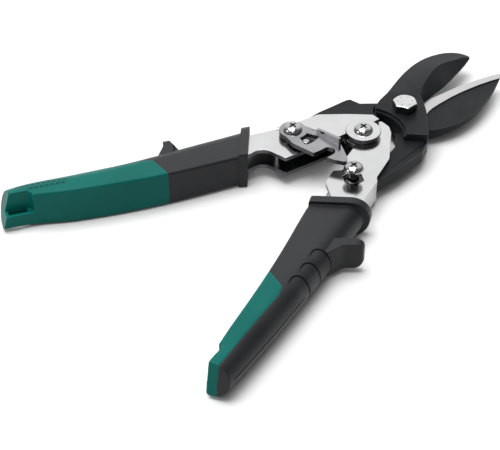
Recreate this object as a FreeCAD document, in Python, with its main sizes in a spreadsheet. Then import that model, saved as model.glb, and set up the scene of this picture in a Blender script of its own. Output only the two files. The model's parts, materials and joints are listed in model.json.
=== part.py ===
"""Compound-leverage aviation snips, modelled open, as separate pieces.

Tool frame: +X runs forward to the jaws, +Y to the left, +Z up. The outlines are drawn about
the handle pivot at the tool's mid-plane, and every piece is then shifted so that the origin
lies on the resting plane under the blade bolt. All lengths are millimetres.

The linkage is a kite: blade bolt P, handle pivot Q and the link pins A (left handle to lower
blade) and B (right handle to upper blade). The handles are nested U channels, one wall
thickness apart in height, and each holds the tail of the opposite blade.
"""
import FreeCAD, Part
import Sketcher
import math
import os

V = FreeCAD.Vector
doc = FreeCAD.newDocument("aviation_snips")

# ---------------------------------------------------------------- driving dimensions
DRIVING = {
    "link_arm": 32.0,            # handle pivot to link pin
    "link_angle": 37.1,          # open half angle between the two link arms
    "bolt_ahead": 26.8,          # blade bolt ahead of the handle pivot
    "handle_angle": 24.0,        # open half angle between the two grips
    "rest_drop": 9.4,            # mid-plane above the resting plane
    "wall": 2.0,                 # steel sheet of the handle channels
    "channel_high": 10.3,        # outside height of a channel
    "channel_top": 6.2,          # top of the left channel; the right one is its mirror in height
    "blade_thick": 6.0,
    "blade_gap": 0.05,           # each blade stands off the mating plane by this
    "tail_rise": 1.05,           # middle of the lower blade's tail above the mid-plane
    "head_back_arc": 18.3,       # blade head's concave rear, about the handle pivot
    "tail_inner_arc": 15.2,      # blade tail's inner edge, about the handle pivot
    "head_arc": 12.8,            # blade head's outer side, about the bolt
    "tail_clear_arc": 14.4,      # tail's edge round the other blade's head, about the bolt
    "tail_boss": 6.6,
    "link_bore": 3.25,           # radius of a link sleeve
    "running": 0.06,             # radial running clearance
    "open_pivot_play": 0.45,     # radial play at the pin where the linkage is opened
    "bolt_radius": 3.0,          # M6
    "bolt_flats": 10.0,
    "bolt_head": 4.1,
    "bolt_crown": 4.7,           # radius of the flat top inside the head's chamfer
    "nut_high": 2.8,
    "nut_washer": 0.6,
    "pivot_sleeve": 3.4,
    "pivot_washer": 8.0,
    "pivot_washer_thick": 0.8,
    "dome_radius": 4.4,
    "dome_high": 2.5,
    "neck_radius": 2.6,
    "shank_radius": 2.0,
    "latch_bottom": 7.2,
    "latch_thick": 2.2,
    "latch_reach": 22.3,         # pin to notch, the closed distance between the link pins
    "dome_base": 9.5,
    "flange_half": 9.4,
    "tang_end": 130.0,
}

sheet = doc.addObject("Spreadsheet::Sheet", "Dims")
for row, (alias, value) in enumerate(DRIVING.items(), start=1):
    sheet.set("A%d" % row, alias)
    sheet.set("B%d" % row, str(value))
    sheet.setAlias("B%d" % row, alias)
doc.recompute()


def dim(alias):
    """A driving dimension, read back from the sheet."""
    return float(sheet.get(alias))


def polar(centre, radius, degrees):
    """The point at a distance and direction from a centre, as (x, y)."""
    angle = math.radians(degrees)
    return (centre[0] + radius * math.cos(angle), centre[1] + radius * math.sin(angle))


PIVOT = (0.0, 0.0)
BOLT = (dim("bolt_ahead"), 0.0)
PIN_LEFT = polar(PIVOT, dim("link_arm"), 180.0 - dim("link_angle"))
PIN_RIGHT = polar(PIVOT, dim("link_arm"), 180.0 + dim("link_angle"))
SHIFT = V(-dim("bolt_ahead"), 0, dim("rest_drop"))


# ---------------------------------------------------------------- drawing helpers
def outline_edges(points):
    """Closed outline through points.

    A point is (x, y), (x, y, radius) for a rounded corner between straight sides, or
    (x, y, "via") for the middle of an arc from the point before it to the point after it.
    """
    total = len(points)
    starts, ends, arcs = [], [], []
    for i, point in enumerate(points):
        here = V(point[0], point[1], 0)
        if len(point) == 2 or point[2] == "via":
            starts.append(here)
            ends.append(here)
            continue
        before = V(points[i - 1][0], points[i - 1][1], 0) - here
        after = V(points[(i + 1) % total][0], points[(i + 1) % total][1], 0) - here
        half = before.getAngle(after) / 2
        back = point[2] / math.tan(half)
        first = here + before.normalize() * back
        last = here + after.normalize() * back
        middle = here + (before + after).normalize() * (point[2] / math.sin(half) - point[2])
        starts.append(first)
        ends.append(last)
        arcs.append(Part.Arc(first, middle, last))
    edges = list(arcs)
    for i, point in enumerate(points):
        following = points[(i + 1) % total]
        if len(point) == 3 and point[2] == "via":
            edges.append(Part.Arc(ends[i - 1], starts[i], starts[(i + 1) % total]))
        elif not (len(following) == 3 and following[2] == "via"):
            edges.append(Part.LineSegment(ends[i], starts[(i + 1) % total]))
    return edges


def new_body(name, at=PIVOT, height=0.0, turn=0.0):
    """A PartDesign body placed in the tool frame, with its own label."""
    body = doc.addObject("PartDesign::Body", name)
    body.Label = name
    body.Placement = FreeCAD.Placement(V(at[0], at[1], height) + SHIFT, FreeCAD.Rotation(turn, 0, 0))
    return body


def new_sketch(body, role, edges, offset="0"):
    """A sketch on one of the body's origin planes, raised by an expression."""
    sketch = body.newObject("Sketcher::SketchObject", "%s_sketch" % body.Name)
    plane = [f for f in body.Origin.OriginFeatures if f.Role == role][0]
    sketch.AttachmentSupport = [(plane, "")]
    sketch.MapMode = "FlatFace"
    sketch.setExpression("AttachmentOffset.Base.z", offset)
    for edge in edges:
        sketch.addGeometry(edge, False)
    return sketch


def circle_sketch(body, radius, centre=(0, 0), offset="0"):
    """A sketch of one circle whose radius follows an expression."""
    sketch = new_sketch(body, "XY_Plane", [Part.Circle(V(centre[0], centre[1], 0), V(0, 0, 1), 1.0)], offset)
    sketch.addConstraint(Sketcher.Constraint("Radius", 0, 1.0))
    sketch.setExpression("Constraints[0]", radius)
    return sketch


def pad(body, sketch, length):
    """Add the sketch's area upwards by an expression."""
    feature = body.newObject("PartDesign::Pad", "%s_pad" % body.Name)
    feature.Profile = sketch
    feature.setExpression("Length", length)
    sketch.Visibility = False
    return feature


def pocket(body, sketch, length):
    """Cut the sketch's area upwards by an expression, and check that it removed something."""
    doc.recompute()
    before = body.Shape.Volume
    feature = body.newObject("PartDesign::Pocket", "%s_pocket" % body.Name)
    feature.Profile = sketch
    feature.Reversed = True
    feature.setExpression("Length", length)
    doc.recompute()
    if body.Shape.Volume > before - 1e-3:
        raise RuntimeError("%s: a pocket cut nothing" % body.Label)
    return feature


def turned(name, at, profile, height=0.0):
    """A round piece: its (radius, height) half section turned about its own axis."""
    body = new_body(name, at, height)
    points = [V(r, z, 0) for r, z in profile]
    edges = [Part.LineSegment(a, b) for a, b in zip(points, points[1:] + points[:1])]
    sketch = new_sketch(body, "XZ_Plane", edges)
    turn = body.newObject("PartDesign::Revolution", "%s_turn" % body.Name)
    turn.Profile = sketch
    turn.ReferenceAxis = (sketch, ["V_Axis"])
    turn.Angle = 360.0
    return body


def dome(radius, base, high, steps=5):
    """Rim-to-centre points of a domed head, as (radius, height)."""
    points = []
    for i in range(steps):
        angle = math.pi / 2 * i / steps
        points.append((radius * math.cos(angle), base + high * math.sin(angle)))
    return points + [(0.0, base + high)]


def cross_recess(body, top, reach=1.9, width=0.85, deep=1.3):
    """A cross-shaped driver recess sunk from the top of a head."""
    half = width / 2
    arm = [(reach, -half), (reach, half), (half, half)]
    corners = []
    for quarter in range(4):
        turn = math.radians(90 * quarter)
        for x, y in arm:
            corners.append((x * math.cos(turn) - y * math.sin(turn), x * math.sin(turn) + y * math.cos(turn)))
    sketch = new_sketch(body, "XY_Plane", outline_edges(corners), str(top - deep))
    pocket(body, sketch, str(deep + 1.0))


def hexagon(flats):
    """Corners of a hexagon with a given width across flats."""
    return [polar((0, 0), flats / math.sqrt(3), 60 * i) for i in range(6)]


# ---------------------------------------------------------------- blades
def circles_meet(radius_q, radius_p, side):
    """Where a circle about the handle pivot meets one about the bolt, on one side."""
    gap = BOLT[0]
    x = (radius_q ** 2 - radius_p ** 2 + gap ** 2) / (2 * gap)
    return (x, side * math.sqrt(radius_q ** 2 - x ** 2))


def direction(centre, point):
    """Direction in degrees from a centre to a point."""
    return math.degrees(math.atan2(point[1] - centre[1], point[0] - centre[0]))


def arc_middle(centre, radius, first, last):
    """The via point of an arc about a centre, between two directions in degrees."""
    return polar(centre, radius, (first + last) / 2) + ("via",)


LEDGE_INNER = polar(PIVOT, dim("head_back_arc"), -47.0)
LEDGE_OUTER = (20.0, -21.0)


def head_outline(root):
    """Outline of a blade's head, with the tail on the -Y side, up to the root of its jaw."""
    corner = circles_meet(dim("head_back_arc"), dim("head_arc"), 1)
    cheek = polar(BOLT, dim("head_arc"), 104.0)
    points = [LEDGE_INNER]
    points.append(arc_middle(PIVOT, dim("head_back_arc"), -47.0, direction(PIVOT, corner)))
    points.append(corner)
    points.append(arc_middle(BOLT, dim("head_arc"), direction(BOLT, corner), 104.0))
    points.append(cheek)
    points += root
    points.append((33.4, -7.3, "via"))
    points.append(LEDGE_OUTER)
    return points


def tail_outline():
    """Outline of a blade's tail on the -Y side, from beside the bolt to the link pin."""
    inner = circles_meet(dim("tail_inner_arc"), dim("tail_clear_arc"), -1)
    start = polar(BOLT, dim("tail_clear_arc"), 275.0)
    boss = dim("tail_boss")
    boss_inner = polar(PIN_RIGHT, boss, 75.0)
    arc_end = polar(PIVOT, dim("tail_inner_arc"), 248.0)
    points = [start, (20.6, -20.8, 2.5), (13.5, -24.4, 4.0), (-2.8, -26.0, 12.0)]
    points.append(polar(PIN_RIGHT, boss, 270.0))
    points.append(arc_middle(PIN_RIGHT, boss, 270.0, 75.0))
    points.append(boss_inner)
    points.append(arc_end)
    points.append(arc_middle(PIVOT, dim("tail_inner_arc"), 248.0, 360.0 + direction(PIVOT, inner)))
    points.append(inner)
    points.append(arc_middle(BOLT, dim("tail_clear_arc"), 360.0 + direction(BOLT, inner), 275.0))
    return points


# Sections across each jaw from root to tip, drawn with its blade's tail on the -Y side: the
# spine, its height, the cutting edge, the crest's share of the way to the edge, and its height.
UPPER_JAW = [((30.1, 14.0), 6.0, (41.9, 2.3), 0.89, 6.0),
             ((41.0, 18.6), 4.9, (49.5, 3.3), 0.735, 5.9),
             ((53.0, 22.8), 3.8, (58.3, 4.5), 0.61, 5.6),
             ((65.0, 24.7), 3.0, (65.4, 6.1), 0.56, 5.0),
             ((75.5, 23.2), 2.4, (71.8, 7.8), 0.59, 4.0),
             ((83.0, 18.9), 1.8, (78.7, 9.8), 0.605, 2.7),
             ((86.6, 13.6), 0.8, (85.8, 12.4), 0.5, 0.9)]
LOWER_JAW = [((29.5, 13.0), 6.0, (40.2, -2.9), 0.85, 6.0),
             ((39.5, 17.6), 4.4, (49.2, -2.5), 0.695, 5.9),
             ((49.5, 18.8), 3.5, (57.4, -1.6), 0.645, 5.6),
             ((60.5, 17.3), 3.0, (65.3, -0.6), 0.58, 5.0),
             ((70.9, 14.1), 2.4, (72.7, 1.0), 0.555, 4.0),
             ((80.0, 10.1), 1.8, (79.8, 2.7), 0.57, 2.8),
             ((87.4, 6.5), 0.8, (87.6, 5.4), 0.5, 0.9)]
EDGE_LAND = 0.7


def crest_of(station):
    """Plan point of a jaw section's crest."""
    spine, _, edge, share, _ = station
    return (spine[0] + (edge[0] - spine[0]) * share, spine[1] + (edge[1] - spine[1]) * share)


def jaw_solid(stations):
    """A jaw ruled between smooth lines through its sections: flat mating face, land, flank and back."""
    floor = dim("blade_gap")
    tracks = [[], [], [], [], []]
    for station in stations:
        spine, spine_high, edge, _, crest_high = station
        corners = [V(*edge, floor), V(*edge, EDGE_LAND), V(*crest_of(station), crest_high),
                   V(*spine, spine_high), V(*spine, floor)]
        for track, corner in zip(tracks, corners):
            track.append(corner)
    lines = []
    for track in tracks:
        curve = Part.BSplineCurve()
        curve.interpolate(track)
        lines.append(curve.toShape())
    faces = [Part.makeRuledSurface(lines[i], lines[(i + 1) % 5]) for i in range(5)]
    for end in (0, -1):
        ring = [track[end] for track in tracks]
        faces.append(Part.Face(Part.makePolygon(ring + ring[:1])))
    shell = Part.Shell(faces)
    shell.sewShape()
    solid = Part.Solid(Part.Shell(shell.Faces))
    if solid.Volume < 0:
        solid.reverse()
    return solid


def blade(name, jaw, flip, bolt_bore, pin_bore, relief, shoulder):
    """A forged blade: head and jaw on one side of the mating plane, joggled tail across it."""
    body = new_body(name + "_forging")
    body.Placement = FreeCAD.Placement()
    root = [jaw[0][0], crest_of(jaw[0])]
    pad(body, new_sketch(body, "XY_Plane", outline_edges(head_outline(root)), "Dims.blade_gap"),
        "Dims.blade_thick - Dims.blade_gap")
    # A turned ledge runs along the head's concave rear.
    pocket(body, circle_sketch(body, "Dims.head_back_arc + 1.1", PIVOT, "Dims.blade_thick - 1.3"), "3")
    tail_level = "-Dims.tail_rise - Dims.blade_thick / 2"
    pad(body, new_sketch(body, "XY_Plane", outline_edges(tail_outline()), tail_level), "Dims.blade_thick")
    if shoulder:
        # The tail is stepped down where it comes up beside the other blade's head.
        pocket(body, new_sketch(body, "XY_Plane", outline_edges(shoulder), tail_level + " - 1"),
               "Dims.tail_rise + Dims.blade_thick / 2 + 0.4")
    pocket(body, circle_sketch(body, bolt_bore, BOLT, "-1"), "8")
    pocket(body, circle_sketch(body, pin_bore, PIN_RIGHT, "-6"), "10")
    doc.recompute()
    shape = body.Shape.fuse(jaw_solid(jaw)).removeSplitter()
    if relief:
        # Only a narrow strip along the cutting edge is left ground flush with the mating plane.
        face = Part.Face(Part.makePolygon([V(*p, -0.5) for p in relief + relief[:1]]))
        shape = shape.cut(face.extrude(V(0, 0, 0.5 + dim("blade_gap") + 0.6)))
    forged = doc.addObject("Part::Feature", name)
    forged.Label = name
    forged.Shape = shape
    turn = FreeCAD.Rotation(V(1, 0, 0), 180) if flip else FreeCAD.Rotation()
    forged.Placement = FreeCAD.Placement(SHIFT, turn)
    return forged


# Both are drawn like the jaws, with the blade's tail on the -Y side.
RELIEF = [(39.5, 3.7), (42.5, 3.1), (48.2, 2.8), (54.9, 2.8), (61.4, 3.2), (67.7, 4.0), (73.7, 5.0),
          (79.4, 6.3), (84.8, 7.8), (90.0, 9.4), (90.0, 30.0), (22.0, 30.0), (22.0, 16.0), (27.0, 11.0),
          (32.5, 6.5)]
SHOULDER = [(13.6, -30.0), (15.0, -24.2), (16.2, -18.2), (21.5, -13.1), (30.0, -8.0), (36.0, -20.0),
            (30.0, -30.0)]
blade("upper_blade", UPPER_JAW, False, "Dims.bolt_radius + Dims.running",
      "Dims.link_bore + Dims.open_pivot_play", None, None)
blade("lower_blade", LOWER_JAW, True, "Dims.bolt_radius", "Dims.link_bore + Dims.running", RELIEF, SHOULDER)

# ---------------------------------------------------------------- blade bolt
bolt = new_body("blade_bolt", BOLT)
pad(bolt, circle_sketch(bolt, "Dims.bolt_radius", (0, 0), "-Dims.rest_drop"),
    "Dims.rest_drop + Dims.blade_thick + 1")
pad(bolt, new_sketch(bolt, "XY_Plane", outline_edges(hexagon(dim("bolt_flats"))), "Dims.blade_thick + 0.1"),
    "Dims.bolt_head")
# A 30 degree chamfer turned on the top corners of the head.
crown = dim("bolt_crown")
bolt_top = dim("blade_thick") + 0.1 + dim("bolt_head")
bolt_rim = [(crown, bolt_top), (crown + 2.0, bolt_top - 2.0 * math.tan(math.radians(30.0))),
            (crown + 2.0, bolt_top + 1.0), (crown, bolt_top + 1.0)]
chamfer = bolt.newObject("PartDesign::Groove", "blade_bolt_chamfer")
chamfer.Profile = new_sketch(bolt, "XZ_Plane", outline_edges(bolt_rim))
chamfer.ReferenceAxis = (chamfer.Profile[0], ["V_Axis"])
chamfer.Angle = 360.0
nut_top = dim("nut_high") - dim("rest_drop")
washer_top = nut_top + dim("nut_washer")
turned("blade_nut_washer", BOLT, [(3.0, nut_top), (6.0, nut_top), (6.0, washer_top), (3.0, washer_top)])
nut = new_body("blade_lock_nut", BOLT)
pad(nut, new_sketch(nut, "XY_Plane", outline_edges(hexagon(dim("bolt_flats"))), "-Dims.rest_drop"),
    "Dims.nut_high")
pocket(nut, circle_sketch(nut, "Dims.bolt_radius", (0, 0), "-Dims.rest_drop - 1"), "Dims.nut_high + 2")

# ---------------------------------------------------------------- handle channels


def along(side, back, out):
    """A point given by its distance back along a handle and outwards from its axis."""
    angle = math.radians(dim("handle_angle"))
    x = -back * math.cos(angle) + out * math.sin(angle)
    y = back * math.sin(angle) + out * math.cos(angle)
    return (x, side * y)


# Outer edge of each channel from nose to grip, then the inner edge back to the pivot.
LEFT_OUTER = [(12.2, 1.8), (12.4, 6.2, 1.0), (4.6, 13.9), (-6.2, 23.2, 4.0), (-25.8, 26.7)]
LEFT_INNER = [(-49.2, 21.9), (-41.8, 21.4, 5.8), (-39.3, 9.0, 1.5), (-30.9, 7.7)]
RIGHT_OUTER = [(13.8, 1.9, 1.0), (13.4, -3.4), (10.8, -7.2), (4.4, -12.9), (-3.6, -20.0, 1.5), (-17.2, -25.6)]
RIGHT_INNER = [(-41.7, -22.3), (-36.3, -13.0, 3.0), (-28.1, -9.4, 1.5), (-24.6, -12.2, 2.0)]
LEFT_RING = 7.2
RIGHT_RING = 8.4
BEND_START = along(1, 38.0, 13.8)


def channel_outline(side):
    """Plan outline of a handle's steel channel, with its tang inside the grip."""
    if side > 0:
        tang = [BEND_START, along(1, 60.0, 12.6), along(1, dim("tang_end"), 7.8),
                along(1, dim("tang_end"), -1.5)]
        ring = [polar(PIVOT, LEFT_RING, 145.0), polar(PIVOT, LEFT_RING, 262.0) + ("via",),
                polar(PIVOT, LEFT_RING, 18.0)]
        return LEFT_OUTER + tang + LEFT_INNER + [(-15.6, 5.1)] + ring
    tang = [along(-1, 28.8, 17.6), along(-1, 45.0, 16.6), along(-1, dim("tang_end"), 9.8),
            along(-1, dim("tang_end"), 3.0)]
    ring = [polar(PIVOT, RIGHT_RING, 201.0), polar(PIVOT, RIGHT_RING, 120.0) + ("via",),
            polar(PIVOT, RIGHT_RING, 30.0)]
    return RIGHT_OUTER + tang + RIGHT_INNER + [(-17.3, -6.6)] + ring


def channel_inside(side):
    """Everything inboard of the side web, which starts behind the link pins."""
    start = 37.0 if side > 0 else 29.0
    if side > 0:
        web = [along(1, start, 11.75), along(1, 60.0, 10.6), along(1, dim("tang_end") + 5, 5.5)]
    else:
        web = [along(-1, start, 15.6), along(-1, 45.0, 14.6), along(-1, dim("tang_end") + 5, 7.3)]
    return web + [along(side, dim("tang_end") + 5, -40.0), along(side, -30.0, -40.0),
                  along(side, -30.0, 40.0), along(side, start, 40.0)]


def channel(name, side, bottom, pin, pin_bore, pivot_bore):
    """A bent U channel: a solid block less its inside, with the two bores."""
    body = new_body(name)
    pad(body, new_sketch(body, "XY_Plane", outline_edges(channel_outline(side)), bottom), "Dims.channel_high")
    inside = new_sketch(body, "XY_Plane", outline_edges(channel_inside(side)), bottom + " + Dims.wall")
    pocket(body, inside, "Dims.channel_high - 2 * Dims.wall")
    pocket(body, circle_sketch(body, pivot_bore, PIVOT, "-8"), "16")
    pocket(body, circle_sketch(body, pin_bore, pin, "-8"), "16")
    return body


LEFT_BOTTOM = "Dims.channel_top - Dims.channel_high"
RIGHT_BOTTOM = "-Dims.channel_top"
channel("left_handle_frame", 1, LEFT_BOTTOM, PIN_LEFT, "Dims.link_bore", "Dims.pivot_sleeve")
right_frame = channel("right_handle_frame", -1, RIGHT_BOTTOM, PIN_RIGHT, "Dims.link_bore",
                      "Dims.pivot_sleeve + Dims.running")
# A hexagonal seat in the top wall keeps the latch stud from turning.
HEX_SEAT = 8.6
seat_sketch = new_sketch(right_frame, "XY_Plane",
                         outline_edges([(PIN_RIGHT[0] + x, PIN_RIGHT[1] + y) for x, y in hexagon(HEX_SEAT)]),
                         "Dims.channel_high - Dims.channel_top - Dims.wall")
pocket(right_frame, seat_sketch, "Dims.wall + 1")

# ---------------------------------------------------------------- handle pivot
top = dim("channel_top")
washer = dim("pivot_washer_thick")
sleeve = dim("pivot_sleeve")
shank = dim("shank_radius")
head = dim("dome_radius")
high = dim("dome_high")
disc = dim("pivot_washer")
turned("handle_pivot_washer_top", PIVOT, [(sleeve, top), (disc, top), (disc, top + washer - 0.2),
                                          (disc - 0.2, top + washer), (sleeve, top + washer)])
turned("handle_pivot_washer_bottom", PIVOT, [(sleeve, -top), (disc, -top), (disc, -top - washer + 0.2),
                                             (disc - 0.2, -top - washer), (sleeve, -top - washer)])
stack = top + washer
screw = turned("handle_pivot_screw", PIVOT,
               [(0.0, -4.0), (shank, -4.0), (shank, stack)] + dome(head, stack, high))
cross_recess(screw, stack + high)
turned("handle_pivot_sleeve", PIVOT,
       [(0.0, -4.5), (shank, -4.5), (shank, stack), (sleeve, stack), (sleeve, -stack)]
       + [(r, -z) for r, z in dome(head, stack, 1.9)])

# ---------------------------------------------------------------- left link pin, under the latch
link = dim("link_bore")
neck = dim("neck_radius")
base = dim("dome_base")
left_bottom = top - dim("channel_high")
pin_screw = turned("left_link_screw", PIN_LEFT,
                   [(0.0, -1.0), (shank, -1.0), (shank, top), (neck, top), (neck, base)]
                   + dome(head, base, high))
cross_recess(pin_screw, base + high)
turned("left_link_sleeve", PIN_LEFT,
       [(0.0, -1.5), (shank, -1.5), (shank, top), (link, top), (link, left_bottom)]
       + [(r, left_bottom - (z - top)) for r, z in dome(head, top, 1.9)])
COLLAR = 4.5
turned("latch_collar", PIN_LEFT, [(neck, top), (COLLAR, top), (COLLAR, top + 0.9), (neck, top + 0.9)])

# ---------------------------------------------------------------- right link stud, caught by the latch
right_top = dim("channel_high") - top
stud = turned("latch_stud", PIN_RIGHT,
              [(0.0, -3.2), (shank, -3.2), (shank, right_top - dim("wall")), (link, right_top - dim("wall")),
               (link, right_top - 0.5), (neck, right_top - 0.2), (neck, base)] + dome(head, base, high))
cross_recess(stud, base + high)
collar_sketch = new_sketch(stud, "XY_Plane", outline_edges(hexagon(HEX_SEAT)),
                           "Dims.channel_high - Dims.channel_top - Dims.wall")
pad(stud, collar_sketch, "Dims.wall - 0.6")
turned("right_link_sleeve", PIN_RIGHT,
       [(0.0, -3.8), (shank, -3.8), (shank, right_top - dim("wall")), (link, right_top - dim("wall")),
        (link, -top)] + [(r, -z) for r, z in dome(head, top, 1.9)])


# ---------------------------------------------------------------- latch lever
def latch():
    """Flat lever on the left link pin: an arc-shaped notch, a stop slot and a thumb tab."""
    body = new_body("latch_lever")
    reach = dim("latch_reach")
    slot = neck + 0.3
    notch_end = polar(PIN_LEFT, reach, -88.0)
    upper_mouth = polar(PIN_LEFT, reach - slot, -105.0)
    lower_mouth = polar(PIN_LEFT, reach + slot, -96.5)
    boss = 6.1
    points = [polar(PIN_LEFT, boss, 195.0)]
    points.append(polar(PIN_LEFT, boss, 90.0) + ("via",))
    points.append(polar(PIN_LEFT, boss, -15.0))
    points.append((-18.0, 10.4))
    points.append((-17.2, -3.0, 1.0))
    points.append((-22.0, -12.0, 1.0))
    points.append((-24.6, -13.6, 1.0))
    points.append((-27.4, -8.7, 0.8))
    points.append(lower_mouth)
    points.append(polar(PIN_LEFT, reach + slot, -92.0) + ("via",))
    points.append(polar(PIN_LEFT, reach + slot, -88.0))
    points.append(polar(notch_end, slot, 2.0) + ("via",))
    points.append(polar(PIN_LEFT, reach - slot, -88.0))
    points.append(polar(PIN_LEFT, reach - slot, -96.0) + ("via",))
    points.append(upper_mouth)
    points.append((-32.6, 12.0, 3.0))
    pad(body, new_sketch(body, "XY_Plane", outline_edges(points), "Dims.latch_bottom"), "Dims.latch_thick")
    tab = [(-18.1, 10.4), (-17.1, -2.9), (-18.5, -2.9), (-19.5, 10.4)]
    pad(body, new_sketch(body, "XY_Plane", outline_edges(tab), "Dims.latch_bottom + Dims.latch_thick"), "3.6")
    # The tab's top slopes down towards the pin.
    lower = outline_edges([(-4.0, 13.0), (12.0, 11.2), (12.0, 15.0), (-4.0, 15.0)])
    pocket(body, new_sketch(body, "YZ_Plane", lower, "-22"), "8")
    pocket(body, circle_sketch(body, "Dims.neck_radius + Dims.running", PIN_LEFT, "5"), "8")
    # Stop slot: an arc about the pin, wide enough for the stop stud.
    middle = 9.8
    half = 3.0
    first, last = -107.0, -66.0
    kidney = [polar(PIN_LEFT, middle + half, first), arc_middle(PIN_LEFT, middle + half, first, last),
              polar(PIN_LEFT, middle + half, last), polar(PIN_LEFT, middle - half, last),
              arc_middle(PIN_LEFT, middle - half, last, first), polar(PIN_LEFT, middle - half, first)]
    pocket(body, new_sketch(body, "XY_Plane", outline_edges(kidney), "5"), "8")
    return body


latch()
STOP = polar(PIN_LEFT, 9.8, -96.0)
turned("latch_stop_stud", STOP, [(0.0, top), (1.7, top), (1.7, 8.6), (1.3, 9.0), (0.0, 9.0)])


# ---------------------------------------------------------------- springs
def coil_spring(name, at, radius, wire, turn, levels, legs):
    """A torsion spring: a coil over the turn's angles, with a straight tangent leg at each end."""
    swept = math.radians(turn[1] - turn[0])
    rise = levels[1] - levels[0]
    coil = Part.makeHelix(rise * 2 * math.pi / swept, rise, radius)
    coil.rotate(V(0, 0, 0), V(0, 0, 1), turn[0])
    coil.translate(V(at[0], at[1], levels[0]))
    first = V(*polar(at, radius, turn[0]), levels[0])
    last = V(*polar(at, radius, turn[1]), levels[1])
    slope = rise / (radius * swept)
    ahead = [V(*polar((0.0, 0.0), 1.0, angle + 90.0), slope) for angle in turn]
    leg_start = first - ahead[0] * legs[0]
    path = [Part.makeLine(leg_start, first)] + coil.Edges + [Part.makeLine(last, last + ahead[1] * legs[1])]
    section = Part.Wire([Part.makeCircle(wire / 2, leg_start, ahead[0])])
    spring = doc.addObject("Part::Feature", name)
    spring.Label = name
    spring.Shape = Part.Wire(path).makePipeShell([section], True, True)
    spring.Placement = FreeCAD.Placement(SHIFT, FreeCAD.Rotation())
    return spring


coil_spring("handle_opening_spring", PIVOT, 5.6, 0.9, (-80.0, 800.0), (-1.2, 1.2), (20.0, 20.0))
coil_spring("latch_spring", PIN_LEFT, 5.1, 0.28, (-112.2, 412.0), (6.46, 6.92), (5.36, 6.64))


# ---------------------------------------------------------------- grips
# Stations back along the handle: distance, inner edge, outer edge, half height.
LEFT_STATIONS = [(44, -1.6, 19.8, 7.5), (57, -2.4, 18.5, 7.7), (75, -3.9, 16.4, 8.1),
                 (92, -5.0, 14.2, 8.4), (109, -5.2, 12.5, 8.8), (124, -4.6, 12.0, 9.0),
                 (139, -3.2, 12.0, 8.8), (152, -1.2, 12.2, 8.4), (163, -1.4, 10.8, 7.8),
                 (168, -1.2, 9.8, 7.6)]
RIGHT_STATIONS = [(42, -1.9, 20.4, 7.5), (57, -2.1, 19.8, 7.7), (75, -1.6, 18.6, 8.1),
                  (90, -0.9, 17.6, 8.4), (107, -0.6, 16.0, 8.6), (130, -1.0, 13.4, 8.6),
                  (146, -1.5, 11.2, 8.4), (155, -1.5, 9.9, 8.1), (163, -1.2, 8.5, 7.8),
                  (168, -1.1, 7.8, 7.2)]
INNER_ROUND = 1.2


def d_section(side, inner, outer, half):
    """D-shaped cross-section in the grip's own Y and Z: flat inside, half-round outside."""
    round_in = INNER_ROUND
    bevel = round_in * (1 - math.sqrt(0.5))
    centre = outer - half
    points = [(inner, -half + round_in), (inner, half - round_in), (inner + bevel, half - bevel, "via"),
              (inner + round_in, half), (centre, half), (outer, 0.0, "via"), (centre, -half),
              (inner + round_in, -half), (inner + bevel, -half + bevel, "via")]
    return outline_edges([(side * p[0], p[1]) + tuple(p[2:]) for p in points])


def d_loft(name, side, stations, at=PIVOT, turn=0.0):
    """A grip body lofted through D-shaped sections along the handle."""
    heading = 180.0 - side * dim("handle_angle")
    body = new_body(name, at, 0.0, heading + turn)
    sketches = []
    for back, inner, outer, half in stations:
        sketches.append(new_sketch(body, "YZ_Plane", d_section(-side, inner, outer, half), str(back)))
    loft = body.newObject("PartDesign::AdditiveLoft", "%s_loft" % name)
    loft.Profile = sketches[0]
    loft.Sections = sketches[1:]
    return body


def prism(name, points, low, top_level):
    """A plain block with a plan outline in the tool frame, used to add or remove material."""
    body = new_body(name)
    pad(body, new_sketch(body, "XY_Plane", outline_edges(points), str(low)), str(top_level - low))
    return body


def boolean(kind, name, first, second):
    """Part::Cut or Part::Common of two objects."""
    result = doc.addObject("Part::" + kind, name)
    result.Label = name
    result.Base = first
    result.Tool = second
    return result


def fused(name, pieces):
    """Part::MultiFuse of several objects."""
    result = doc.addObject("Part::MultiFuse", name)
    result.Label = name
    result.Shapes = pieces
    return result


LEFT_GUARD = [(81.0, 6.0), (83.0, 13.0, 6.0), (84.6, 19.0), (85.5, 22.6, 1.0), (87.6, 22.2, 1.0),
              (88.8, 17.0, 6.0), (92.5, 11.5), (93.0, 6.0)]
LEFT_GUARD_EDGE = [(5.0, -6.4), (22.4, -6.4, 3.2), (22.4, 6.4, 3.2), (5.0, 6.4)]
RIGHT_GUARD = [(77.5, 8.0), (75.8, 12.0, 6.0), (70.6, 23.0), (70.0, 27.9, 1.2), (73.4, 28.1, 1.2),
               (76.5, 20.8, 5.0), (83.5, 16.6), (84.0, 8.0)]
RIGHT_GUARD_EDGE = [(5.0, -6.4), (28.0, -6.4, 3.6), (28.0, 6.4, 3.6), (5.0, 6.4)]
LEFT_INLAY = [(92.5, -12.0), (92.5, -4.9), (96.3, 5.6), (100.6, 7.8), (170.0, 8.6), (170.0, -12.0)]
RIGHT_INLAY = [(106.1, -8.0), (106.1, 0.0), (112.5, 8.2), (117.0, 8.9), (162.3, 3.3), (170.0, 2.6),
               (170.0, -8.0)]
FLANGE_TURN = 20.5
FLANGE_FRONT = 51.2
FLANGE_REAR = 55.0


def in_flange(ahead, out):
    """A (back, out) handle point given in the flange's own turned axes."""
    angle = math.radians(FLANGE_TURN)
    return (ahead * math.cos(angle) - out * math.sin(angle), ahead * math.sin(angle) + out * math.cos(angle))


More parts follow.
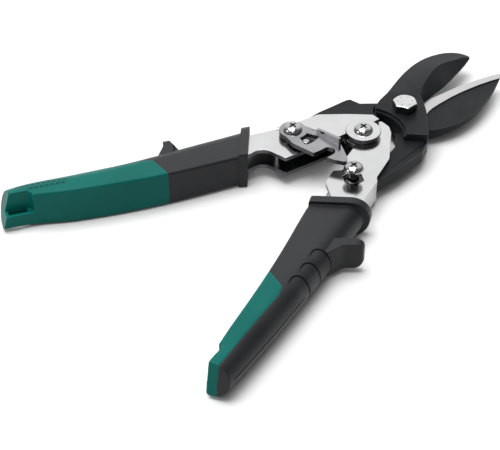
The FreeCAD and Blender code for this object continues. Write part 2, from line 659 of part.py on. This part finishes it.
def end_prism(name, side, points, start=60.0, length=50.0):
    """A block running back along the handle, with an outline of (out, up) points."""
    body = new_body(name, PIVOT, 0.0, 180.0 - side * dim("handle_angle"))
    edges = outline_edges([(-side * p[0], p[1]) + tuple(p[2:]) for p in points])
    pad(body, new_sketch(body, "YZ_Plane", edges, str(start)), str(length))
    return body


def side_prism(name, side, points, reach=30.0):
    """A block across the handle, with an outline of (back, up) points."""
    body = new_body(name, PIVOT, 0.0, 180.0 - side * dim("handle_angle"))
    pad(body, new_sketch(body, "XZ_Plane", outline_edges(points), str(-reach)), str(2 * reach))
    return body


def grip(word, side, stations, guard, guard_edge, inlay, flange, tang, end_step, end_slot, end_face):
    """A two-material grip: dark body and inlay, sleeved over the channel's tang."""
    core = d_loft(word + "_grip_core", side, stations)
    collar = d_loft(word + "_grip_collar", side, flange, PIVOT, -side * FLANGE_TURN)
    wing_points = [along(side, p[0], p[1]) + tuple(p[2:]) for p in guard]
    wing_plan = prism(word + "_grip_wing_plan", wing_points, -7.0, 7.0)
    wing_edge = end_prism(word + "_grip_wing_edge", side, guard_edge)
    wing = boolean("Common", word + "_grip_wing", wing_plan, wing_edge)
    front = prism(word + "_grip_front", [along(side, *in_flange(*p)) for p in
                                         [(20.0, -40.0), (20.0, 20.0), (FLANGE_FRONT, 20.0),
                                          (FLANGE_FRONT, -40.0)]], -15.0, 15.0)
    trimmed = boolean("Cut", word + "_grip_trimmed", core, front)
    solid = fused(word + "_grip_solid", [trimmed, collar, wing])
    hollow = prism(word + "_grip_hollow", [along(side, *p) for p in tang], *TANG_LEVELS[word])
    sleeve_shape = boolean("Cut", word + "_grip_sleeve", solid, hollow)
    # The end face slopes, and the inner side ahead of it is stepped back above a low rim.
    cutters = [side_prism(word + "_grip_slope", side, end_face + [(180.0, -14.0), (180.0, 14.0)]),
               prism(word + "_grip_step", [along(side, *p) for p in end_step], RIM_TOP, 12.0)]
    if end_slot:
        # A hanging slot runs right through behind the rim.
        cutters.append(prism(word + "_grip_slot", [along(side, *p) for p in end_slot], -12.0, 12.0))
    cutters = fused(word + "_grip_end_cutters", cutters)
    shaped = boolean("Cut", word + "_grip_shaped", sleeve_shape, cutters)
    mask = prism(word + "_grip_mask", [along(side, *p) for p in inlay], -15.0, 15.0)
    boolean("Common", word + "_grip_inlay", shaped, mask)
    boolean("Cut", word + "_grip_body", shaped, mask)


RIM_TOP = -1.4
LEFT_END = [(159.4, 14.0), (167.2, -14.0)]
RIGHT_END = [(160.8, 14.0), (163.4, 0.0), (165.3, -14.0)]
LEFT_STEP = [(151.4, -12.0), (151.4, 0.2), (153.2, 2.6), (159.0, 3.0), (172.0, 3.2), (172.0, -12.0)]
LEFT_SLOT = [(154.0, 0.2), (154.0, 2.6), (162.4, 3.0), (162.4, 0.2)]
RIGHT_STEP = [(151.4, -12.0), (151.4, -0.8), (152.4, 0.5), (155.4, 0.1), (160.8, -0.9), (172.0, -1.4),
              (172.0, -12.0)]
TANG_LEVELS = {"left": (top - dim("channel_high"), top), "right": (-top, dim("channel_high") - top)}
LEFT_TANG = [(38.0, 0.2), (38.0, 13.8), (60.0, 12.6), (dim("tang_end"), 7.8), (dim("tang_end"), -1.5),
             (53.8, -0.1)]
RIGHT_TANG = [(40.0, 3.0), (40.0, 17.0), (45.0, 16.6), (dim("tang_end"), 9.8), (dim("tang_end"), 3.0)]
flange_half = dim("flange_half")
grip("left", 1, LEFT_STATIONS, LEFT_GUARD, LEFT_GUARD_EDGE, LEFT_INLAY,
     [(FLANGE_FRONT, -23.2, 3.6, flange_half), (FLANGE_REAR, -23.9, 2.2, flange_half)],
     LEFT_TANG, LEFT_STEP, LEFT_SLOT, LEFT_END)
grip("right", -1, RIGHT_STATIONS, RIGHT_GUARD, RIGHT_GUARD_EDGE, RIGHT_INLAY,
     [(FLANGE_FRONT, -22.2, 4.2, flange_half), (FLANGE_REAR, -23.0, 3.4, flange_half)],
     RIGHT_TANG, RIGHT_STEP, None, RIGHT_END)

# ---------------------------------------------------------------- check and write
NODES = ["upper_blade", "lower_blade", "blade_bolt", "blade_nut_washer", "blade_lock_nut",
         "left_handle_frame", "right_handle_frame", "handle_pivot_washer_top", "handle_pivot_washer_bottom",
         "handle_pivot_screw", "handle_pivot_sleeve", "left_link_screw", "left_link_sleeve", "latch_collar",
         "latch_stud", "right_link_sleeve", "latch_lever", "latch_stop_stud", "handle_opening_spring",
         "latch_spring", "left_grip_body", "left_grip_inlay", "right_grip_body", "right_grip_inlay"]

doc.recompute()
for item in doc.Objects:
    if "Invalid" in item.State or "Error" in item.State:
        raise RuntimeError("%s did not recompute: %s" % (item.Label, item.State))
os.makedirs("parts", exist_ok=True)
for name in NODES:
    shape = doc.getObjectsByLabel(name)[0].Shape
    if shape.isNull() or not shape.isValid():
        raise RuntimeError("%s has no valid shape" % name)
    print("%-28s solids %d  volume %9.1f mm3" % (name, len(shape.Solids), shape.Volume))
    shape.exportStep("parts/%s.step" % name)
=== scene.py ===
import json
import math

import bmesh
import bpy
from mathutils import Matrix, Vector


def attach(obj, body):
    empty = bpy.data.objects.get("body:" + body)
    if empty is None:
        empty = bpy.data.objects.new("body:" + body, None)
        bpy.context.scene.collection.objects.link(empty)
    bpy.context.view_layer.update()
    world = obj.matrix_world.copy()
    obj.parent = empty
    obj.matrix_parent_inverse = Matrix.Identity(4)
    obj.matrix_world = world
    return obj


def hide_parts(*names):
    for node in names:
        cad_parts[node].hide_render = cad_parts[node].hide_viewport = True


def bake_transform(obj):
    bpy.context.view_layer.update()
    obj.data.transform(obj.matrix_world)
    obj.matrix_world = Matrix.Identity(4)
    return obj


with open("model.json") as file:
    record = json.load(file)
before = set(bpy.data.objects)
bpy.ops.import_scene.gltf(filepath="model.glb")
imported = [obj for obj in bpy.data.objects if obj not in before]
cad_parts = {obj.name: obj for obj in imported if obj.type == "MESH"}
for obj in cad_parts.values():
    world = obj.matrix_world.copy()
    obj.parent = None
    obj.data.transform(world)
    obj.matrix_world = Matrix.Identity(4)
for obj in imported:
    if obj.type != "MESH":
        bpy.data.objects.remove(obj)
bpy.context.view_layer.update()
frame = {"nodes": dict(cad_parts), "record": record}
MM = 0.001
BOLT_AHEAD = 26.8                # blade bolt ahead of the handle pivot, mm
MID_PLANE = 9.4                  # mid-plane above the resting plane, mm
HANDLE_ANGLE = math.radians(24.0)
LINK_PIN = (-25.52, 19.30)       # left link pin about the handle pivot; the right one mirrors it, mm


# ---------------------------------------------------------------- places
def spot(x, y, z=0.0):
    """A point given about the handle pivot and the mid-plane in mm, in the row frame in metres."""
    return Vector(((x - BOLT_AHEAD) * MM, y * MM, (z + MID_PLANE) * MM))


# ---------------------------------------------------------------- materials
class Maker:
    """Builds one node material on a Principled shader."""

    def __init__(self, name, **sockets):
        self.material = bpy.data.materials.new(name)
        self.material.use_nodes = True
        self.tree = self.material.node_tree
        self.shader = self.tree.nodes["Principled BSDF"]
        for key, value in sockets.items():
            self.shader.inputs[key.replace("_", " ")].default_value = value
        self.place = self.node("ShaderNodeTexCoord").outputs["Object"]

    def node(self, kind, inputs=None, **settings):
        made = self.tree.nodes.new(kind)
        for key, value in settings.items():
            setattr(made, key, value)
        for key, value in (inputs or {}).items():
            if isinstance(value, bpy.types.NodeSocket):
                self.tree.links.new(value, made.inputs[key])
            else:
                made.inputs[key].default_value = value
        return made

    def noise(self, scale, detail=3.0, stretch=(1, 1, 1), turn=0.0, roughness=0.5):
        """Noise in the object's own metres, stretched along its axes after a turn about Z."""
        mapping = self.node("ShaderNodeMapping", {"Vector": self.place, "Rotation": (0, 0, turn),
                                                  "Scale": stretch})
        return self.node("ShaderNodeTexNoise", {"Vector": mapping.outputs[0], "Scale": scale,
                                                "Detail": detail, "Roughness": roughness}).outputs[0]

    def ramp(self, factor, stops):
        made = self.node("ShaderNodeValToRGB", {"Fac": factor})
        elements = made.color_ramp.elements
        while len(elements) < len(stops):
            elements.new(0.5)
        for element, (position, colour) in zip(elements, stops):
            element.position = position
            element.color = tuple(colour) + (1.0,) if len(colour) == 3 else colour
        return made.outputs["Color"]

    def span(self, factor, low, high):
        return self.node("ShaderNodeMapRange", {"Value": factor, "To Min": low, "To Max": high}).outputs[0]

    def bump(self, height, strength, distance, below=None):
        inputs = {"Height": height, "Strength": strength, "Distance": distance}
        if below is not None:
            inputs["Normal"] = below
        return self.node("ShaderNodeBump", inputs).outputs["Normal"]

    def math(self, operation, *values):
        return self.node("ShaderNodeMath", dict(enumerate(values)), operation=operation).outputs[0]

    def smooth(self, value, start, end, low=0.0, high=1.0):
        """Smooth clamped step of a value from one level to another."""
        inputs = {"Value": value, "From Min": start, "From Max": end, "To Min": low, "To Max": high}
        return self.node("ShaderNodeMapRange", inputs, interpolation_type="SMOOTHSTEP").outputs[0]

    def within(self, value, start, end):
        """One below the start, fading smoothly to zero at the end."""
        return self.smooth(value, start, end, 1.0, 0.0)

    def shaded(self, colour, factor):
        """A colour multiplied by a single value."""
        return self.node("ShaderNodeVectorMath", {0: colour, 1: factor}, operation="MULTIPLY").outputs[0]

    def length(self, x, y):
        """Length of a plane vector given by its two parts."""
        vector = self.node("ShaderNodeCombineXYZ", {0: x, 1: y}).outputs[0]
        return self.node("ShaderNodeVectorMath", {0: vector}, operation="LENGTH").outputs["Value"]

    def dot(self, vector, offset):
        made = self.node("ShaderNodeVectorMath", {0: self.place, 1: vector}, operation="DOT_PRODUCT")
        return self.math("ADD", made.outputs["Value"], offset)

    def handle_axes(self, side):
        """Distances back along a handle and outwards from its axis, in metres."""
        cos, sin = math.cos(HANDLE_ANGLE), math.sin(HANDLE_ANGLE)
        back = self.dot((-cos, side * sin, 0.0), -BOLT_AHEAD * MM * cos)
        out = self.dot((sin, side * cos, 0.0), BOLT_AHEAD * MM * sin)
        return back, out

    def set(self, **sockets):
        for key, value in sockets.items():
            self.tree.links.new(value, self.shader.inputs[key.replace("_", " ")])
        return self.material


def plated(name, low, high, rough, scratch=0.02, marks=None):
    """Polished plate: faint cloudiness, fine polishing lines and, if given, punched marks."""
    m = Maker(name, Metallic=1.0)
    cloud = m.noise(70.0, 2.0)
    lines = m.noise(900.0, 3.0, (1.0, 12.0, 1.0), 0.42)
    colour = m.ramp(cloud, [(0.3, low), (0.7, high)])
    if marks:
        colour = m.shaded(colour, m.math("SUBTRACT", 1.0, m.math("MULTIPLY", marks(m), 0.6)))
    m.set(Base_Color=colour, Roughness=m.span(lines, rough * 0.75, rough * 1.35))
    ripple = m.noise(60.0, 2.0)
    normal = m.bump(ripple, 0.06, 0.0006)
    return m.set(Normal=m.bump(lines, scratch, 0.0002, normal))


def oxide(name):
    """Black-oxide forged steel with cross-ground grain."""
    m = Maker(name, Specular_IOR_Level=0.11)
    grain = m.noise(420.0, 4.0, (1.0, 9.0, 3.0), 0.72, 0.6)
    cloud = m.noise(90.0, 3.0)
    shade = m.math("MULTIPLY", m.math("ADD", grain, cloud), 0.5)
    m.set(Base_Color=m.ramp(shade, [(0.34, (0.0040, 0.0050, 0.0062)), (0.66, (0.0120, 0.0140, 0.0155))]),
          Roughness=m.span(grain, 0.36, 0.50))
    fine = m.noise(2600.0, 2.0)
    normal = m.bump(grain, 0.20, 0.0003)
    return m.set(Normal=m.bump(fine, 0.10, 0.0001, normal))


def ground(name):
    """Bright ground steel, with fine lines across the edge."""
    m = Maker(name, Metallic=1.0)
    lines = m.noise(1500.0, 3.0, (8.0, 0.6, 1.0), 0.12, 0.6)
    m.set(Base_Color=m.ramp(lines, [(0.3, (0.38, 0.38, 0.38)), (0.7, (0.52, 0.52, 0.52))]),
          Roughness=m.span(lines, 0.24, 0.40))
    return m.set(Normal=m.bump(lines, 0.15, 0.0002))


EDGE_RADIUS = 0.9                # moulded edges round over by this, mm


def moulded(name, dark, light, rough, shine, edge_lift, sunk=None):
    """Moulded plastic or rubber: fine spark texture, slow tone changes, a painted highlight where edges round
    over and, if given, sunk detail darkened with painted shade.
    """
    m = Maker(name, Specular_IOR_Level=shine)
    cloud = m.noise(45.0, 3.0)
    texture = m.noise(2400.0, 2.0, roughness=0.6)
    colour = m.ramp(cloud, [(0.25, dark), (0.75, light)])
    normal = m.node("ShaderNodeBevel", {"Radius": EDGE_RADIUS * MM}, samples=6).outputs["Normal"]
    # Moulded edges catch the light, so the colour is lifted where the surface rounds over.
    flat = m.node("ShaderNodeNewGeometry").outputs["Normal"]
    facing = m.node("ShaderNodeVectorMath", {0: normal, 1: flat}, operation="DOT_PRODUCT").outputs["Value"]
    colour = m.shaded(colour, m.smooth(facing, 0.80, 0.995, 1.0 + edge_lift, 1.0))
    if sunk:
        depth, line = sunk(m)
        # Painted shade: the colour darkens along the sunk lines and in the dimples, and they reflect less
        # there.
        colour = m.shaded(colour, m.math("SUBTRACT", 1.0, m.math("MULTIPLY", line, 0.55)))
        normal = m.bump(m.math("SUBTRACT", 1.0, depth), 1.0, 0.0007, normal)
        m.set(Specular_IOR_Level=m.span(line, shine, shine * 0.15))
    m.set(Base_Color=colour, Roughness=m.span(texture, rough - 0.06, rough + 0.08))
    return m.set(Normal=m.bump(texture, 0.22, 0.00012, normal))


FINGER_RESTS = ((84.2, 11.0), (93.6, 10.6), (102.8, 9.6))   # front and inner edge of each rest, mm
REST_CORNER = 4.0                # radius of a rest's front corner, mm
REST_FADE = (1.0, 8.6)           # a rest runs out between these distances behind its front, mm
PARTING_LEVEL = 0.8              # parting line above the mid-plane, mm
PARTING_STARTS = (106.0, 110.0)  # back along the handle, the line fades in between these, mm
PARTING_ENDS = (160.0, 161.0)    # and fades out between these, mm


def one_rest(m, start, inner, back, out):
    """Depth of one finger rest and the painted shade along its edge, sunk at its front and running out
    behind.
    """
    ahead = m.math("MAXIMUM", m.math("SUBTRACT", (start + REST_CORNER) * MM, back), 0.0)
    inwards = m.math("MAXIMUM", m.math("SUBTRACT", (inner + REST_CORNER) * MM, out), 0.0)
    reach = m.length(ahead, inwards)
    fade = m.within(back, (start + REST_FADE[0]) * MM, (start + REST_FADE[1]) * MM)
    inside = m.within(reach, (REST_CORNER - 0.45) * MM, (REST_CORNER + 0.25) * MM)
    off_edge = m.math("ABSOLUTE", m.math("SUBTRACT", reach, REST_CORNER * MM))
    rest_edge_shade = m.within(off_edge, 0.15 * MM, 0.6 * MM)
    return m.math("MULTIPLY", inside, fade), m.math("MULTIPLY", rest_edge_shade, fade)


def parting_line(m, back, out):
    """The mould's parting line along the outer side, behind the finger rests."""
    height = m.dot((0.0, 0.0, 1.0), -(MID_PLANE + PARTING_LEVEL) * MM)
    line = m.within(m.math("ABSOLUTE", height), 0.15 * MM, 0.50 * MM)
    starts = m.smooth(back, PARTING_STARTS[0] * MM, PARTING_STARTS[1] * MM)
    ends = m.within(back, PARTING_ENDS[0] * MM, PARTING_ENDS[1] * MM)
    line = m.math("MULTIPLY", line, m.math("MULTIPLY", starts, ends))
    return m.math("MULTIPLY", line, m.smooth(out, 4.0 * MM, 6.0 * MM))


def finger_rests(side):
    """Three stepped finger rests on the outer shoulder and the parting line behind them, as depth and as
    lines of painted shade.
    """
    def sunk(m):
        back, out = m.handle_axes(side)
        depth = line = parting_line(m, back, out)
        for start, inner in FINGER_RESTS:
            rest_depth, rest_edge_shade = one_rest(m, start, inner, back, out)
            depth = m.math("ADD", depth, rest_depth)
            line = m.math("MAXIMUM", line, rest_edge_shade)
        return depth, line
    return sunk


DIMPLE_PITCH = 2.33              # mm
DIMPLE_WALL = (0.30, 0.95)       # a dimple's wall rises between these distances from its middle, mm
ROW_FADE = (1.1, 1.3)            # a row fades out between these distances past its end dimples, mm
DIMPLE_ROWS = ((136.1, 157.2, 4.3, 0.085), (137.3, 151.8, 2.3, 0.055))   # first, last, out, slope


def dimples(m):
    """Two staggered rows of small round dimples on the left inlay near its end, as depth and as painted shade
    inside them.
    """
    back, out = m.handle_axes(1)
    rows = []
    for first, last, level, slope in DIMPLE_ROWS:
        steps = m.math("DIVIDE", m.math("SUBTRACT", back, (first - DIMPLE_PITCH / 2) * MM), DIMPLE_PITCH * MM)
        near = m.math("MULTIPLY", m.math("SUBTRACT", m.math("FRACT", steps), 0.5), DIMPLE_PITCH * MM)
        line = m.math("ADD", m.math("MULTIPLY", m.math("SUBTRACT", back, first * MM), slope), level * MM)
        apart = m.length(near, m.math("SUBTRACT", out, line))
        hollow = m.within(apart, DIMPLE_WALL[0] * MM, DIMPLE_WALL[1] * MM)
        starts = m.smooth(back, (first - ROW_FADE[1]) * MM, (first - ROW_FADE[0]) * MM)
        ends = m.within(back, (last + ROW_FADE[0]) * MM, (last + ROW_FADE[1]) * MM)
        rows.append(m.math("MULTIPLY", hollow, m.math("MULTIPLY", starts, ends)))
    both = m.math("MAXIMUM", rows[0], rows[1])
    return both, m.math("MULTIPLY", both, 0.35)


BOLT_DOTS = 6
BOLT_DOT_CIRCLE = 3.3            # radius of the ring of dots, mm
BOLT_DOT_EDGE = (0.22, 0.45)     # a dot fades out between these distances from its middle, mm
FIRST_DOT = 20.0                 # degrees
DOT_LEVEL = 10.1                 # dots above the mid-plane, just under the head's flat top, mm


def bolt_marks(m):
    """A ring of six small punched dots on the bolt's head."""
    nearest = None
    for i in range(BOLT_DOTS):
        angle = math.radians(FIRST_DOT + 360.0 / BOLT_DOTS * i)
        centre = (BOLT_DOT_CIRCLE * MM * math.cos(angle), BOLT_DOT_CIRCLE * MM * math.sin(angle),
                  (MID_PLANE + DOT_LEVEL) * MM)
        apart = m.node("ShaderNodeVectorMath", {0: m.place, 1: centre}, operation="DISTANCE").outputs["Value"]
        nearest = apart if nearest is None else m.math("MINIMUM", nearest, apart)
    return m.within(nearest, BOLT_DOT_EDGE[0] * MM, BOLT_DOT_EDGE[1] * MM)


CHROME = plated("polished_nickel", (0.49, 0.49, 0.495), (0.54, 0.54, 0.545), 0.16)
CHROME_BRIGHT = plated("polished_chrome", (0.34, 0.34, 0.345), (0.42, 0.42, 0.425), 0.06)
ZINCS = [(0.50, 0.50, 0.50), (0.60, 0.60, 0.595), 0.24, 0.05]
ZINC = plated("bright_zinc", *ZINCS)
ZINC_MARKED = plated("bright_zinc_marked", *ZINCS, bolt_marks)
LATCH = plated("latch_nickel", (0.25, 0.25, 0.26), (0.33, 0.33, 0.34), 0.15)
# Painted shade: a dark plate for the sheets' cut edges and the washers' rims, standing in for shade and dark
# reflections there.
EDGE_SHADE = plated("painted_edge_shade", (0.05, 0.05, 0.055), (0.12, 0.12, 0.125), 0.32, 0.08)
NECK = plated("shaded_neck", (0.05, 0.05, 0.05), (0.10, 0.10, 0.10), 0.12)
SPRING = plated("spring_wire", (0.22, 0.22, 0.23), (0.36, 0.36, 0.37), 0.30, 0.05)
# Painted shade: a darker copy of the zinc for the upright sides of the bolt's head.
ZINC_SIDE_SHADE = plated("zinc_painted_side_shade", (0.14, 0.14, 0.14), (0.22, 0.22, 0.22), 0.20, 0.05)
OXIDE = oxide("black_oxide")
WORN = plated("worn_edge", (0.035, 0.036, 0.038), (0.085, 0.086, 0.09), 0.36, 0.08)
GROUND = ground("ground_edge")
BLACKS = [(0.009, 0.0095, 0.0115), (0.014, 0.0145, 0.0165), 0.42, 0.23, 0.8]
TEALS = [(0.0, 0.084, 0.070), (0.0, 0.106, 0.090), 0.36, 0.10, 1.0]
BLACK_LEFT = moulded("grip_black_left", *BLACKS, finger_rests(1))
BLACK_RIGHT = moulded("grip_black_right", *BLACKS, finger_rests(-1))
TEAL_LEFT = moulded("grip_teal_left", *TEALS, dimples)
TEAL_RIGHT = moulded("grip_teal_right", *TEALS)


# ---------------------------------------------------------------- meshes from the CAD nodes
WELD = 0.002                     # vertices closer than this become one, mm
FLAT_WITHIN = math.radians(0.6)  # neighbouring faces that turn by less than this are merged
SHARP_FROM = math.radians(32.0)  # edges that turn by this or more are shaded as sharp
ROUND_FROM = math.radians(34.0)  # edges that turn by more than this are rounded


def cleaned(node):
    """A bmesh of a CAD node, welded, with flat regions merged into single faces."""
    bm = bmesh.new()
    bm.from_mesh(frame["nodes"][node].data)
    bmesh.ops.remove_doubles(bm, verts=bm.verts, dist=WELD * MM)
    bmesh.ops.dissolve_limit(bm, angle_limit=FLAT_WITHIN, verts=bm.verts, edges=bm.edges)
    return bm


def shown(bm, name, body, nodes, materials):
    """Makes the finished object: smooth shading, sharp edges kept, riding on its body."""
    for face in bm.faces:
        face.smooth = True
    for edge in bm.edges:
        edge.smooth = len(edge.link_faces) == 2 and edge.calc_face_angle(0.0) < SHARP_FROM
    mesh = bpy.data.meshes.new(name)
    bm.to_mesh(mesh)
    bm.free()
    for material in materials:
        mesh.materials.append(material)
    made = bpy.data.objects.new(name, mesh)
    bpy.context.scene.collection.objects.link(made)
    weighted = made.modifiers.new("weighted_normals", "WEIGHTED_NORMAL")
    weighted.keep_sharp = True
    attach(made, body)
    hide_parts(*nodes)
    return made


def rounded(bm, width, segments=2, worn=-1):
    """Rounds every sharp edge a little; the new faces can take a material of their own."""
    edges = [e for e in bm.edges if len(e.link_faces) == 2 and e.calc_face_angle(0.0) > ROUND_FROM]
    bmesh.ops.bevel(bm, geom=edges, offset=width * MM, segments=segments, profile=0.5,
                    affect="EDGES", clamp_overlap=True, material=worn)


def hardware(node, material, width, segments=2, second=None, picks=None):
    """A rounded copy of one CAD node; a second material goes on the faces that are picked."""
    bm = cleaned(node)
    if second:
        for face in bm.faces:
            face.material_index = int(picks(face))
    rounded(bm, width, segments)
    materials = [material, second] if second else [material]
    made = shown(bm, node + "_finished", BODIES[node], [node], materials)


SHEET_EDGE = (2.3, 2.6)          # a sheet's cut edge is lower or narrower than these, mm
HEAD_BASE = 9.4                  # just under the domed heads of the link pins, above the mid-plane, mm
RECESS_REACH = 2.0               # the driver recess lies within this of the pin's axis, mm
PINS = [spot(0.0, 0.0), spot(*LINK_PIN), spot(LINK_PIN[0], -LINK_PIN[1])]


def upright(face):
    """True for faces that stand up, such as the sides of the bolt's head."""
    return abs(face.normal.z) < 0.3


def cut_edge(face):
    """True for the sheared edge of a sheet, no taller or no wider than the sheet is thick."""
    heights = [v.co.z for v in face.verts]
    tall = max(heights) - min(heights)
    wide = max((a.co.xy - b.co.xy).length for a in face.verts for b in face.verts)
    return upright(face) and (tall < SHEET_EDGE[0] * MM or wide < SHEET_EDGE[1] * MM)


def rim(face):
    """True for the faces of a washer other than its flat sides."""
    return abs(face.normal.z) < 0.95


def recess(face):
    """True for the walls and floor of the driver recess in a domed head."""
    middle = face.calc_center_median()
    apart = min((middle.xy - pin.xy).length for pin in PINS)
    wall = apart < RECESS_REACH * MM and upright(face)
    bottom = apart < 0.3 * MM and face.normal.z > 0.99
    return wall or bottom


def below_head(face):
    """True for the driver recess and for the faces of a stud or screw below its domed head."""
    return recess(face) or face.calc_center_median().z < (MID_PLANE + HEAD_BASE) * MM


def twisting(node):
    """A wire spring, copied from its node with the spring material and fixed where it stands."""
    mesh = frame["nodes"][node].data.copy()
    mesh.materials.clear()
    mesh.materials.append(SPRING)
    made = bpy.data.objects.new(node + "_finished", mesh)
    made.matrix_world = frame["nodes"][node].matrix_world.copy()
    bpy.context.scene.collection.objects.link(made)
    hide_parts(node)
    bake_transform(made)


BODIES = {node: body for body, nodes in frame["record"]["behaviour"]["bodies"].items() for node in nodes}

# The number after each material is how wide the node's edges are rounded, in mm.
# The second material on the frames, washers and latch lever is painted shade on their cut edges and rims.
for node in ["left_handle_frame", "right_handle_frame"]:
    hardware(node, CHROME, 0.25, 2, EDGE_SHADE, cut_edge)
for node in ["handle_pivot_washer_top", "handle_pivot_washer_bottom"]:
    hardware(node, CHROME, 0.1, 2, EDGE_SHADE, rim)
hardware("latch_lever", LATCH, 0.3, 2, EDGE_SHADE, cut_edge)
for node in ["handle_pivot_sleeve", "left_link_sleeve", "latch_collar", "right_link_sleeve",
             "latch_stop_stud"]:
    hardware(node, CHROME_BRIGHT, 0.08)
hardware("handle_pivot_screw", CHROME_BRIGHT, 0.08, 2, NECK, recess)
for node in ["left_link_screw", "latch_stud"]:
    hardware(node, CHROME_BRIGHT, 0.08, 2, NECK, below_head)
# The bolt's upright sides take the darker zinc as painted shade.
hardware("blade_bolt", ZINC_MARKED, 0.2, 2, ZINC_SIDE_SHADE, upright)
for node in ["blade_nut_washer", "blade_lock_nut"]:
    hardware(node, ZINC, 0.3)
twisting("handle_opening_spring")
twisting("latch_spring")

GROUND_START = 8.0               # the ground strip starts this far ahead of the bolt, mm
GROUND_BELOW = 0.3               # its face lies within this of the mid-plane, mm


def mark_ground_strip(bm):
    """Puts the ground material on the flush strip, ahead of where the upper blade's head covers it."""
    bmesh.ops.bisect_plane(bm, geom=bm.verts[:] + bm.edges[:] + bm.faces[:], dist=1e-6,
                           plane_co=(GROUND_START * MM, 0.0, 0.0), plane_no=(1.0, 0.0, 0.0))
    for face in bm.faces:
        middle = face.calc_center_median()
        flush = (MID_PLANE - GROUND_BELOW) * MM < middle.z < MID_PLANE * MM
        if flush and middle.x > GROUND_START * MM:
            face.material_index = 1


for node in ["upper_blade", "lower_blade"]:
    bm = cleaned(node)
    rounded(bm, 0.35, worn=2)
    if node == "lower_blade":
        mark_ground_strip(bm)
    made = shown(bm, node + "_finished", BODIES[node], [node], [OXIDE, GROUND, WORN])

for node, material in [("left_grip_body", BLACK_LEFT), ("right_grip_body", BLACK_RIGHT),
                       ("left_grip_inlay", TEAL_LEFT), ("right_grip_inlay", TEAL_RIGHT)]:
    hardware(node, material, 0.7, 3)

# ---------------------------------------------------------------- floor, light, camera
floor_mesh = bpy.data.meshes.new("floor")
floor_bm = bmesh.new()
bmesh.ops.create_grid(floor_bm, x_segments=2, y_segments=2, size=4.0)
floor_bm.to_mesh(floor_mesh)
floor_bm.free()
floor = bpy.data.objects.new("floor", floor_mesh)
bpy.context.scene.collection.objects.link(floor)
paper = Maker("paper_floor", Roughness=0.9)
floor_mesh.materials.append(paper.set(
    Base_Color=paper.ramp(paper.noise(3.0), [(0.3, (0.72, 0.72, 0.72)), (0.7, (0.74, 0.74, 0.74))])))

BRIGHT_SIDE = (0.51, 0.57, 0.645)    # direction that the studio's light wall faces from
world = bpy.data.worlds.new("studio")
bpy.context.scene.world = world
world.use_nodes = True
sky = world.node_tree
direction = sky.nodes.new("ShaderNodeTexCoord").outputs["Generated"]
facing = sky.nodes.new("ShaderNodeVectorMath")
facing.operation = "DOT_PRODUCT"
facing.inputs[1].default_value = BRIGHT_SIDE
sky.links.new(direction, facing.inputs[0])
shade = sky.nodes.new("ShaderNodeMapRange")
shade.interpolation_type = "SMOOTHSTEP"
for key, value in (("From Min", 0.50), ("From Max", 0.88), ("To Min", 0.20), ("To Max", 1.40)):
    shade.inputs[key].default_value = value
sky.links.new(facing.outputs["Value"], shade.inputs["Value"])
sky.nodes["Background"].inputs["Color"].default_value = (1.0, 1.0, 1.0, 1.0)
sky.links.new(shade.outputs["Result"], sky.nodes["Background"].inputs["Strength"])


def softbox(name, place, target, width, height, power):
    light = bpy.data.lights.new(name, "AREA")
    light.shape = "RECTANGLE"
    light.size = width
    light.size_y = height
    light.energy = power
    made = bpy.data.objects.new(name, light)
    made.location = place
    made.rotation_euler = (Vector(target) - Vector(place)).to_track_quat("-Z", "Y").to_euler()
    bpy.context.scene.collection.objects.link(made)


CENTRE = (-0.08, 0.0, 0.0)
softbox("top_softbox", (-0.25, 0.15, 1.5), CENTRE, 1.1, 1.1, 26.0)
softbox("left_softbox", (-1.3, 0.7, 0.8), CENTRE, 0.7, 0.7, 5.0)
softbox("front_softbox", (-0.57, -0.55, 0.95), CENTRE, 0.22, 0.22, 1.0)

CAMERA_PLACE = Vector((-0.4480, -0.3912, 0.4425))
CAMERA_TARGET = Vector((-0.1036, -0.0090, 0.0094))
camera_data = bpy.data.cameras.new("camera")
camera = bpy.data.objects.new("camera", camera_data)
bpy.context.scene.collection.objects.link(camera)
camera_data.sensor_width = 36.0
camera_data.lens = 114.0
camera_data.clip_start = 0.01
camera.location = CAMERA_PLACE
camera.rotation_euler = (CAMERA_TARGET - CAMERA_PLACE).to_track_quat("-Z", "Y").to_euler()
bpy.context.scene.camera = camera
bpy.context.scene.view_settings.view_transform = "Standard"
